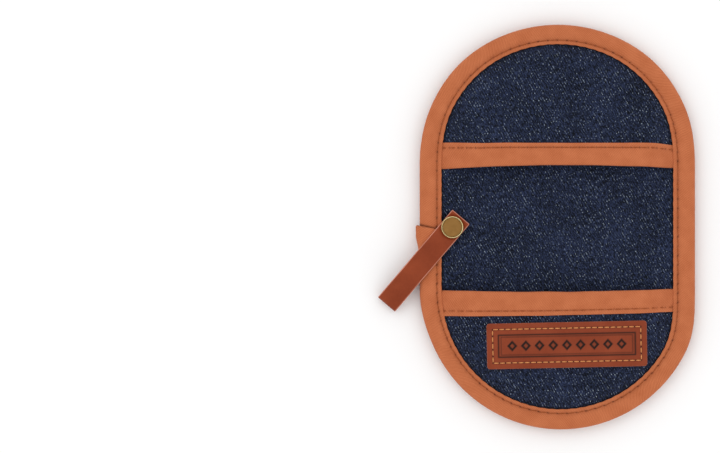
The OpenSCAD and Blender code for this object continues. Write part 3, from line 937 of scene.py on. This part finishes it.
# %% [markdown]
# ## The lap of the binding
# The tape is one length, so its two ends overlap at the side where the loop hangs. The upper end is folded
# under and sewn flat at a slant. It is swept like the binding, but each ring of its outline stands out by
# as much as the hidden layer lifts it there, which fades to nothing where the hidden end stops.

# %% Lap



def make_lap():
    bm = bmesh.new()
    order = bm.verts.layers.int.new("order")
    base = tape_section()
    ring = [bm.verts.new((-(HALF_W - d), LAP_FADE, z)) for d, z in base]
    for i, vert in enumerate(ring):
        vert[order] = i
    edges = [bm.edges.new(pair) for pair in zip(ring, ring[1:] + ring[:1])]
    steps = 96
    length = LAP_TOP - LAP_FADE
    geom = bmesh.ops.spin(
        bm,
        geom=ring + edges,
        cent=(0, 0, 0),
        axis=(0, 0, 1),
        dvec=(0, length / steps, 0),
        angle=0,
        steps=steps,
    )["geom_last"]
    for loop in (edges, [g for g in geom if isinstance(g, bmesh.types.BMEdge)]):
        bmesh.ops.holes_fill(bm, edges=loop)
    flat = {}
    for vert in bm.verts:
        vert.co.y += (lap_line(vert.co.x) - LAP_TOP) * ease((vert.co.y - LAP_FADE) / length)
        flat[vert] = (run_of(vert.co) * (1 if vert.co.y > 0 else -1) / MM, round_of(vert.co) / MM)
    layer = bm.loops.layers.uv.new("UVMap")
    for face in bm.faces:
        for loop in face.loops:
            loop[layer].uv = flat[loop.vert]
    # painted shade in the stitch holes and along the lap's folded end
    shade_points(bm, "painted_shade", tape_painted_shade)
    grown = {}
    for vert in bm.verts:
        d, z = tape_section(lap_lift(vert.co.y))[vert[order]]
        out = lap_bulge(vert.co.y) * (1 - ease(max(0, d) / (9 * MM)))
        grown[vert] = (-(HALF_W - d) - out, z)
    shape_tape(bm)
    for vert in bm.verts:
        d, z = base[vert[order]]
        x, new_z = grown[vert]
        vert.co.x += x + HALF_W - d
        vert.co.z += new_z - z
    bmesh.ops.recalc_face_normals(bm, faces=bm.faces)
    lap = finish_piece("edge_binding_lap", bm, [TAPE_CLOTH], 60)
    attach(lap, "middle")
    return lap


lap = make_lap()
print("lap faces", len(lap.data.polygons))

# %% [markdown]
# ## The pockets
# Each pocket is a denim panel with a thin cotton lining, held round its outer edge by the binding and open
# at its mouth. The mouth isn't straight: its middle is drawn back by the hand that has worn it. A panel is
# the same kind of slab as a cover, pushed over so that its open edge follows the mouth's line.

# %% Panels and linings

MOUTHS = {"finger": (32.2, 34.5, 32.8, 46.9, 46.9, 44.9), "thumb": (35.0, 35.8, 34.2, 49.5, 48.9, 47.1)}


def through_three(x, left, middle, right):
    """A smooth line through three heights, at the left, in the middle and at the right, in metres."""
    t = x / (65 * MM)
    return (middle + (right - left) / 2 * t + ((left + right) / 2 - middle) * t * t) * MM


def mouth_line(end, x):
    """How far from the middle line a pocket's mouth runs."""
    wander = 0.25 * MM * noise.noise(Vector((x / (14 * MM), 1, ENDS[end])))
    return through_three(x, *MOUTHS[end][:3]) + wander


def band_line(end, x):
    """How far from the middle line the other edge of the mouth's tape runs."""
    left, middle, right = MOUTHS[end][3:]
    if end == "finger":
        right_droop = 1.4 * MM * ease((x - 52 * MM) / (15 * MM))
        return middle * MM - right_droop + 0.25 * MM * noise.noise(Vector((x / (17 * MM), 6, 0)))
    return through_three(x, left, middle, right) + 0.2 * MM * noise.noise(Vector((x / (17 * MM), 8, 0)))


def pocket_slab(end, lower, upper, inset, spacing):
    """A pocket's layer, its open edge the inset away from the mouth's line."""
    side = ENDS[end]
    from_y = 33 * MM

    def nudge(x, y):
        move = mouth_line(end, side * x) + inset - from_y
        return move * (1 - ease((y - from_y) / (30 * MM)))

    if side < 0:
        lower, upper = turned(lower), turned(upper)
    bm = slab(lower, upper, from_y, spacing, nudge=nudge)
    if side < 0:
        turn_to_thumb(bm)
    return bm


for end in ENDS:
    face = PANEL_FACES[end]
    bm = pocket_slab(end, lifted(face, -DENIM), face, 0.8 * MM, 1.3 * MM)
    lay_pattern(bm, lambda p: (p.x + 7.3 * MM, p.y + 3.1 * MM))
    # painted shade on the panel beside the tape
    shade_points(bm, "painted_shade", lambda p: seam_shadow(p.x, p.y, True))
    panel = finish_piece(f"{end}_pocket_outer", bm, [DENIM_CLOTH])
    bm = pocket_slab(end, lifted(face, -DENIM - LINING), lifted(face, -DENIM - ROOM), 0.8 * MM, 2.6 * MM)
    lay_pattern(bm, lambda p: (p.x, p.y))
    lining = finish_piece(f"{end}_pocket_inner", bm, [COTTON])
    for piece, slot, node in ((panel, "denim", "panel"), (lining, "lining_cotton", "lining")):
        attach(piece, f"{end}_end")
        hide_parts(f"{end}_pocket_{node}")
    print(end, "panel faces", len(panel.data.polygons))

# %% [markdown]
# ## The mouths' tape
# The same twill tape is folded over each mouth. Its outline is a narrow U, wide outside and narrower
# inside. The U is swept straight across, then every point is laid on the panel: its place along the U
# becomes a distance from the mouth's line, and its height is added to the panel's own.

# %% Mouth tape

WRAP = DENIM + LINING
BAND_STITCH_IN = 2.6 * MM


def band_section():
    """Closed U: (distance from the fold's outside as a share of the width, height over the panel)."""
    width = 13.0
    top = [13.0, 12.85, 12.4, 11.8, 11.2, 10.7, 10.4, 10.1, 9.6, 8.9, 8, 6.8, 5.4, 4, 2.8, 1.8]
    radius = (WRAP / 2 + TAPE) / MM
    turn = [radians(a) for a in range(80, -81, -20)]
    outer = [(d / width, TAPE) for d in top]
    outer += [((radius - radius * cos(a)) / width, -WRAP / 2 + radius * sin(a) * MM) for a in turn]
    outer += [(d / width, -WRAP - TAPE) for d in (1.8, 4, 6.8, 9, 10.2)]
    inner_r = WRAP / 2 / MM
    inner = [(d / width, -WRAP) for d in (10.2, 9, 6.8, 4, 1.8)]
    inner += [
        ((radius - inner_r * cos(a)) / width, -WRAP / 2 + inner_r * sin(a) * MM)
        for a in reversed(turn[::2])
    ]
    inner += [(d / width, 0) for d in (1.8, 4, 6.8, 8.9, 10.1, 10.7, 11.8, 12.85)]
    return outer + inner


def band_stitch_line(end, x):
    width = band_line(end, x) - mouth_line(end, x)
    return band_line(end, x) - BAND_STITCH_IN * width / (13 * MM)


def band_reach(y):
    """How far sideways the tape runs before it is under the binding."""
    return sqrt((HALF_W - 8.5 * MM) ** 2 - max(0, abs(y) - END_Y) ** 2)


BAND_PITCH = 4.8 * MM
BAND_STITCHES = 27


def band_stitch_x(i):
    return (i - (BAND_STITCHES - 1) / 2) * BAND_PITCH


for end, side in ENDS.items():
    face = PANEL_FACES[end]
    section = band_section()
    bm = bmesh.new()
    marks = bm.verts.layers.float_vector.new("marks")
    shade = bm.verts.layers.float.new("painted_shade")
    ring = [bm.verts.new((-1, share, h / MM / 100)) for share, h in section]
    for vert, (share, h) in zip(ring, section):
        vert[marks] = (share, h / MM, 0)
    edges = [bm.edges.new(pair) for pair in zip(ring, ring[1:] + ring[:1])]
    steps = 420
    geom = bmesh.ops.spin(
        bm, geom=ring + edges, cent=(0, 0, 0), axis=(0, 0, 1), dvec=(2 / steps, 0, 0), angle=0, steps=steps
    )["geom_last"]
    for loop in (edges, [g for g in geom if isinstance(g, bmesh.types.BMEdge)]):
        bmesh.ops.holes_fill(bm, edges=loop)
    flat = {}
    for vert in bm.verts:
        share, h = vert[marks].x, vert[marks].y * MM
        guess_y = 34 * MM + share * 13 * MM
        x = vert.co.x * band_reach(guess_y)
        mouth, far = mouth_line(end, x), band_line(end, x)
        y = side * (mouth + share * (far - mouth))
        d = share * 13 * MM
        off = d - (13 * MM - BAND_STITCH_IN)
        phase = (x - band_stitch_x(0)) / BAND_PITCH
        hole = (1 - cos(2 * pi * phase)) / 2
        hole = hole**12 * hump(off, 0.42 * MM) if abs(x) < 64 * MM else 0
        line = hump(off, 0.9 * MM)
        crown = 0.3 * MM * sin(pi * min(1, max(0, d / (13 * MM - BAND_STITCH_IN)))) if h > 0 else 0
        wrinkle = 0.1 * MM * noise.noise(Vector((x / (6 * MM), y / (6 * MM), 2)))
        outside = 1 if h > -WRAP / 2 else 0
        z = face(x, y) + h + crown + wrinkle - outside * (0.18 * MM * line + 0.4 * MM * hole)
        if h > 0 and d > 12.7 * MM:
            z -= 0.1 * MM
        flat[vert] = (x / MM, (d if outside else -d) / MM + 40)
        # painted shade along the stitch line and in the stitch holes of the mouth's tape
        luck = 0.75 + 0.5 * noise.noise(Vector((x / (8 * MM), side, 31)))
        vert[shade] = min(1, 0.05 * line + (0.95 if end == "finger" else 0.45) * luck * hole)
        vert.co = Vector((x, y, z))
    layer = bm.loops.layers.uv.new("UVMap")
    for face_of in bm.faces:
        for loop in face_of.loops:
            loop[layer].uv = flat[loop.vert]
    bmesh.ops.recalc_face_normals(bm, faces=bm.faces)
    band = finish_piece(f"{end}_pocket_tape", bm, [TAPE_CLOTH], 60)
    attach(band, f"{end}_end")
    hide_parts(f"{end}_pocket_binding")

    spots = []
    for i in range(BAND_STITCHES):
        x = band_stitch_x(i)
        y = side * band_stitch_line(end, x)
        ahead = side * band_stitch_line(end, x + 1 * MM)
        z = face(x, y) + TAPE - 0.12 * MM
        spots.append((Vector((x, y, z)), atan2(ahead - y, 1 * MM)))
    seam = stitches(f"{end}_pocket_seam", spots, BAND_PITCH - 1.1 * MM, 0.5 * MM, RUST_THREAD, 0.3)
    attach(seam, f"{end}_end")
    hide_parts(f"{end}_pocket_stitching")
    print(end, "mouth tape faces", len(band.data.polygons), "stitches", len(spots))

# %% [markdown]
# ## The leather label
# The label is a stiff rectangle of leather with rounded corners, sewn on round its edge and hot-stamped. The
# stamp is pressed geometry: a fine grid lets its lines be real grooves, and the same rule says how dark
# the pressed leather is. The stitch holes are sunk as well, with painted shade in them. Its motif is plain:
# a ruled frame and a row of lozenges.

# %% Label

LABEL_W, LABEL_H, LABEL_T = 89 * MM, 25.3 * MM, 1.4 * MM
LABEL_AT = Vector((5.2 * MM, -65.4 * MM, 0))
LABEL_TURN = radians(1.2)
LABEL_STITCH_IN = 3.3 * MM


def frame_distance(x, y, half_w, half_h):
    """Distance to a rectangle's outline."""
    dx, dy = abs(x) - half_w, abs(y) - half_h
    if dx > 0 and dy > 0:
        return hypot(dx, dy)
    return abs(max(dx, dy))


def label_motif(x, y):
    """How deep the stamp is at a point of the flat label, from 0 to 1."""
    depth = hump(frame_distance(x, y, 38 * MM, 6.1 * MM), 0.42 * MM)
    depth = max(depth, 0.7 * hump(frame_distance(x, y, 36.6 * MM, 4.9 * MM), 0.25 * MM))
    for i in range(9):
        cx = (i - 4) * 7.6 * MM
        size = abs(x - cx) / (2.9 * MM) + abs(y) / (3.1 * MM)
        depth = max(depth, ease((1.08 - size) / 0.2) * (1 - 0.85 * ease((0.52 - size) / 0.14)))
    return depth


def label_stitches():
    """Saddle stitches round the label: places on the flat label and headings."""
    half_w, half_h = LABEL_W / 2 - LABEL_STITCH_IN, LABEL_H / 2 - LABEL_STITCH_IN
    sides = ((half_w, half_h, -1, 0, 2 * half_w), (-half_w, half_h, 0, -1, 2 * half_h))
    places = []
    for x0, y0, dx, dy, length in sides:
        count = round(length / (3.5 * MM))
        for i in range(count):
            along = (i + 0.5) * length / count
            x, y = x0 + dx * along, y0 + dy * along
            places += [(x, y, atan2(dy, dx)), (-x, -y, atan2(dy, dx))]
    return places


LABEL_STITCHES = label_stitches()


def stitch_hole(x, y):
    """1 at the ends of the label's stitches: how far they sink and how much shade is painted into them."""
    half_w, half_h = LABEL_W / 2 - LABEL_STITCH_IN, LABEL_H / 2 - LABEL_STITCH_IN
    if frame_distance(x, y, half_w, half_h) > 1 * MM:
        return 0
    on_long_side = abs(abs(y) - half_h) < abs(abs(x) - half_w)
    length = 2 * (half_w if on_long_side else half_h)
    step = length / round(length / (3.5 * MM))
    phase = ((x if on_long_side else y) + length / 2) / step
    hole = (1 + cos(2 * pi * phase)) / 2
    off = frame_distance(x, y, half_w, half_h)
    return max(hole**5, 0.35) * hump(off, 0.45 * MM)


def on_label(x, y, height):
    """Where a point of the flat label lies on the thumb pocket."""
    spot = Matrix.Rotation(LABEL_TURN, 3, "Z") @ Vector((x, y, 0)) + LABEL_AT
    spot.z = PANEL_FACES["thumb"](spot.x, spot.y) + height
    return spot


def make_label():
    bm = bmesh.new()
    columns, rows = round(LABEL_W / (0.4 * MM)), round(LABEL_H / (0.4 * MM))
    bmesh.ops.create_grid(bm, x_segments=columns, y_segments=rows, size=1)
    bmesh.ops.scale(bm, verts=bm.verts, vec=(LABEL_W / 2, LABEL_H / 2, 1))
    corner = 1.6 * MM
    for vert in bm.verts:
        dx, dy = abs(vert.co.x) - (LABEL_W / 2 - corner), abs(vert.co.y) - (LABEL_H / 2 - corner)
        if dx > 0 and dy > 0:
            pull = max(dx, dy) / hypot(dx, dy) - 1
            vert.co.x += dx * pull * (1 if vert.co.x > 0 else -1)
            vert.co.y += dy * pull * (1 if vert.co.y > 0 else -1)
    top = bmesh.ops.extrude_face_region(bm, geom=bm.faces[:])["geom"]
    bmesh.ops.translate(bm, verts=[g for g in top if isinstance(g, bmesh.types.BMVert)], vec=(0, 0, LABEL_T))
    bmesh.ops.recalc_face_normals(bm, faces=bm.faces)
    rim = [e for e in bm.edges if e.calc_face_angle(0) > radians(60) and e.verts[0].co.z > LABEL_T / 2]
    rim = [e for e in rim if e.verts[1].co.z > LABEL_T / 2]
    bmesh.ops.bevel(
        bm,
        geom=rim,
        offset=0.25 * MM,
        offset_type="OFFSET",
        segments=2,
        profile=0.5,
        affect="EDGES",
        material=-1,
    )
    lay_pattern(bm, lambda p: (p.x, p.y))
    for face in bm.faces:
        face.material_index = 1 if abs(face.normal.z) < 0.5 else 0
    # stamp darkening, and painted shade in the stitch holes
    shade_points(
        bm,
        "stamp_and_hole_shade",
        lambda p: 0 if p.z < 1 * MM else min(1, label_motif(p.x, p.y) + stitch_hole(p.x, p.y)),
    )
    for vert in bm.verts:
        x, y, z = vert.co
        if z > 1 * MM:
            edge = min(LABEL_W / 2 - abs(x), LABEL_H / 2 - abs(y))
            z -= 0.3 * MM * label_motif(x, y) + 0.35 * MM * stitch_hole(x, y)
            z -= 0.15 * MM * (1 - ease(edge / (2 * MM)))
            z += 0.08 * MM * noise.noise(Vector((x / (5 * MM), y / (5 * MM), 1)))
        vert.co = on_label(x, y, z)
    return finish_piece("leather_label_stamped", bm, [LABEL_LEATHER, CUT_LEATHER], 40)


label = make_label()
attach(label, "thumb_end")
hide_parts("leather_label")

spots = [(on_label(x, y, LABEL_T - 0.2 * MM), heading + LABEL_TURN) for x, y, heading in LABEL_STITCHES]
label_seam = stitches("leather_label_seam", spots, 2.95 * MM, 0.62 * MM, TAN_THREAD)
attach(label_seam, "thumb_end")
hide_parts("label_stitching")
print("label faces", len(label.data.polygons), "stitches", len(spots))

# %% [markdown]
# ## The strap
# The strap is one strip of leather folded in half over the pad's edge: its back leg lies under the pad and
# its front leg over it, and both ends meet at the snap. The strip is made flat, with bevelled cut edges,
# and then bent: its length runs along a path and its thickness stands on the path's normal.

# %% Strap path

STRAP_W, STRAP_T = 12.5 * MM, 1.4 * MM
front_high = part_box("strap_front_leg")[1]
STRAP_HEADING = radians(229.6)
BACK_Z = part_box("strap_back_leg")[0].z + STRAP_T / 2
FRONT_Z = front_high.z - STRAP_T / 2
FOLD_AT = 53.9 * MM
FOLD_R = 1.9 * MM
TAIL = 7.5 * MM
SLOPE_FROM = 36.5 * MM


def strap_path():
    """Points of the strap's middle line, as distance from the snap and height."""
    steps = 60
    points = [(-TAIL + (FOLD_AT + TAIL) * i / steps, BACK_Z) for i in range(steps + 1)]
    for i in range(1, 25):
        a = pi * i / 24
        points.append((FOLD_AT + FOLD_R * sin(a), BACK_Z + FOLD_R * (1 - cos(a))))
    low = BACK_Z + 2 * FOLD_R
    for i in range(1, 41):
        s = FOLD_AT - (FOLD_AT - SLOPE_FROM) * i / 40
        points.append((s, low + (FRONT_Z - low) * ease(i / 40)))
    for i in range(1, steps + 1):
        points.append((SLOPE_FROM - (SLOPE_FROM + TAIL) * i / steps, FRONT_Z))
    return points


STRAP_PATH = strap_path()
lengths = [0.0]
for (s0, z0), (s1, z1) in zip(STRAP_PATH, STRAP_PATH[1:]):
    lengths.append(lengths[-1] + hypot(s1 - s0, z1 - z0))
STRAP_LENGTH = lengths[-1]


def on_strap(along, across, height):
    """Where a point of the flat strip goes when it is bent along its path."""
    along = min(STRAP_LENGTH, max(0, along))
    i = 0
    while i < len(lengths) - 2 and lengths[i + 1] < along:
        i += 1
    t = (along - lengths[i]) / (lengths[i + 1] - lengths[i])
    before, after = max(0, i - 1), min(len(STRAP_PATH) - 1, i + 2)
    (s0, z0), (s1, z1) = STRAP_PATH[i], STRAP_PATH[i + 1]
    (s2, z2), (s3, z3) = STRAP_PATH[before], STRAP_PATH[after]
    tangent = Vector((s3 - s2, z3 - z2))
    tangent.normalize()
    s = s0 + (s1 - s0) * t + tangent.y * height
    z = z0 + (z1 - z0) * t - tangent.x * height
    if z > 8 * MM:
        from_snap = hypot(s, across)
        z -= 0.75 * MM * (1 - ease((from_snap - 6.1 * MM) / (1.6 * MM)))
        z += 0.6 * MM * ease((-s - 4.0 * MM) / (3.3 * MM)) * (0.4 + 0.6 * (across / (STRAP_W / 2)) ** 2)
    heading = Vector((cos(STRAP_HEADING), sin(STRAP_HEADING), 0))
    sideways = Vector((-heading.y, heading.x, 0))
    return SNAP + heading * s + sideways * across + Vector((0, 0, z))


print("strap length", round(STRAP_LENGTH / MM, 1), "mm")

# %% Strap


def make_strap():
    bm = bmesh.new()
    columns, rows = round(STRAP_LENGTH / (0.55 * MM)), 18
    bmesh.ops.create_grid(bm, x_segments=columns, y_segments=rows, size=1)
    bmesh.ops.scale(bm, verts=bm.verts, vec=(STRAP_LENGTH / 2, STRAP_W / 2, 1))
    top = bmesh.ops.extrude_face_region(bm, geom=bm.faces[:])["geom"]
    bmesh.ops.translate(bm, verts=[g for g in top if isinstance(g, bmesh.types.BMVert)], vec=(0, 0, STRAP_T))
    bmesh.ops.recalc_face_normals(bm, faces=bm.faces)
    rim = [e for e in bm.edges if e.calc_face_angle(0) > radians(60)]
    bmesh.ops.bevel(
        bm,
        geom=rim,
        offset=0.4 * MM,
        offset_type="OFFSET",
        segments=3,
        profile=0.5,
        affect="EDGES",
        material=-1,
    )
    lay_pattern(bm, lambda p: (p.x, p.y))
    for face in bm.faces:
        face.material_index = 1 if abs(face.normal.z) < 0.97 else 0
    for vert in bm.verts:
        x, y, z = vert.co
        width = 1 + 0.012 * noise.noise(Vector((x / (15 * MM), 0, 0)))
        vert.co = on_strap(x + STRAP_LENGTH / 2, y * width, STRAP_T / 2 - z)
    bmesh.ops.recalc_face_normals(bm, faces=bm.faces)
    return finish_piece("hanging_strap", bm, [LEATHER, CUT_LEATHER], 45)


strap = make_strap()
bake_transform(strap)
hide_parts("strap_back_leg", "strap_fold", "strap_front_leg")
print("strap faces", len(strap.data.polygons))

# %% [markdown]
# ## The snap
# Brass caps are pressed from sheet, so their shape is a turned one: a profile spun round the snap's axis.
# The cap has a flat middle, a shallow groove and a rounded rim, painted bright: partly brass rubbed where
# fingers touch it, partly a painted highlight.

# %% Snap caps


def spin_cap(name, low_z, high_z, up, radius=6.25 * MM):
    """A pressed cap between two heights, its face turned up (1) or down (-1)."""
    thick = high_z - low_z
    profile = [(0, 0.93), (2.5, 0.92), (4.5, 0.89), (4.85, 0.9), (5.1, 0.96), (5.35, 1.0), (5.75, 1.0)]
    profile += [(5.95, 0.96), (6.12, 0.84), (6.22, 0.62), (6.25, 0.35), (6.15, 0.1), (5.95, 0)]
    profile += [(2.5, 0), (0, 0)]
    bm = bmesh.new()
    line = [bm.verts.new((r * MM * radius / (6.25 * MM), 0, share * thick)) for r, share in profile]
    edges = [bm.edges.new(pair) for pair in zip(line, line[1:])]
    bmesh.ops.spin(
        bm, geom=line + edges, cent=(0, 0, 0), axis=(0, 0, 1), angle=2 * pi, steps=72, use_merge=True
    )
    bmesh.ops.remove_doubles(bm, verts=bm.verts, dist=1e-6)
    # the rim's brightness: rubbed brass and a painted highlight
    shade_points(bm, "rim_wear_and_highlight", lambda p: ease((hypot(p.x, p.y) - 4.7 * MM) / (0.5 * MM)))
    if up < 0:
        bmesh.ops.rotate(bm, verts=bm.verts, cent=(0, 0, thick / 2), matrix=Matrix.Rotation(pi, 3, "X"))
    bmesh.ops.translate(bm, verts=bm.verts, vec=SNAP + Vector((0, 0, low_z)))
    bmesh.ops.recalc_face_normals(bm, faces=bm.faces)
    cap = finish_piece(name, bm, [BRASS], 60)
    return cap


back_cap_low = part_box("snap_back_cap")[0]
front_cap = spin_cap("snap_front_cap_disc", FRONT_Z + STRAP_T / 2 - 0.7 * MM, snap_high.z, 1)
back_cap = spin_cap("snap_rear_cap_disc", back_cap_low.z, back_cap_low.z + 1.3 * MM, -1)
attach(front_cap, "strap_front")
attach(back_cap, "middle")

for node in ("snap_cap", "snap_back_cap", "snap_socket", "snap_stud"):
    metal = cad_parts[node]
    metal.data.materials.clear()
    metal.data.materials.append(BRASS)
print("cap faces", len(front_cap.data.polygons))

# %% [markdown]
# ## Camera, light and floor
# The view is straight down from far off, so that the mitt shows without perspective. A broad soft light
# overhead and a bright surround give the pale floor and the soft shadow round the edge.

# %% Studio

VIEW_WIDTH = 400.5 * MM
LENS = 600.0


def make_studio():
    camera = bpy.data.objects.new("camera", bpy.data.cameras.new("camera"))
    camera.data.sensor_width = 36
    camera.data.lens = LENS
    camera.data.clip_end = 20
    camera.location = (-109.8 * MM, 0.4 * MM, 9 * MM + VIEW_WIDTH * LENS / 36)
    bpy.context.scene.collection.objects.link(camera)
    bpy.context.scene.camera = camera

    bm = bmesh.new()
    bmesh.ops.create_grid(bm, x_segments=8, y_segments=8, size=3)
    material, tree, shader = new_material("white_floor", 0.9, Specular_IOR_Level=0.1)
    place = add(tree, "ShaderNodeTexCoord").outputs["Object"]
    cloud = add(tree, "ShaderNodeTexNoise", None, Vector=place, Scale=2.0).outputs[0]
    paper = blend_colours(tree, cloud, (0.96, 0.96, 0.96), (0.97, 0.97, 0.97))
    tree.links.new(paper, shader.inputs["Base Color"])
    floor = finish_piece("floor", bm, [material])

    for name, place, size, watts in (
        ("overhead", (-0.7, 0.8, 1.6), 1.2, 3),
        ("fill", (0.9, -0.6, 1.3), 1.2, 1.5),
    ):
        lamp = bpy.data.objects.new(name, bpy.data.lights.new(name, "AREA"))
        lamp.data.energy = watts
        lamp.data.size = size
        lamp.location = place
        lamp.rotation_mode = "QUATERNION"
        lamp.rotation_quaternion = (-Vector(place)).to_track_quat("-Z", "Y")
        bpy.context.scene.collection.objects.link(lamp)

    world = bpy.data.worlds.new("surround")
    bpy.context.scene.world = world
    world.use_nodes = True
    world.node_tree.nodes["Background"].inputs[0].default_value = (1, 1, 1, 1)
    world.node_tree.nodes["Background"].inputs[1].default_value = 0.97


make_studio()
bpy.context.scene.view_settings.view_transform = "Standard"
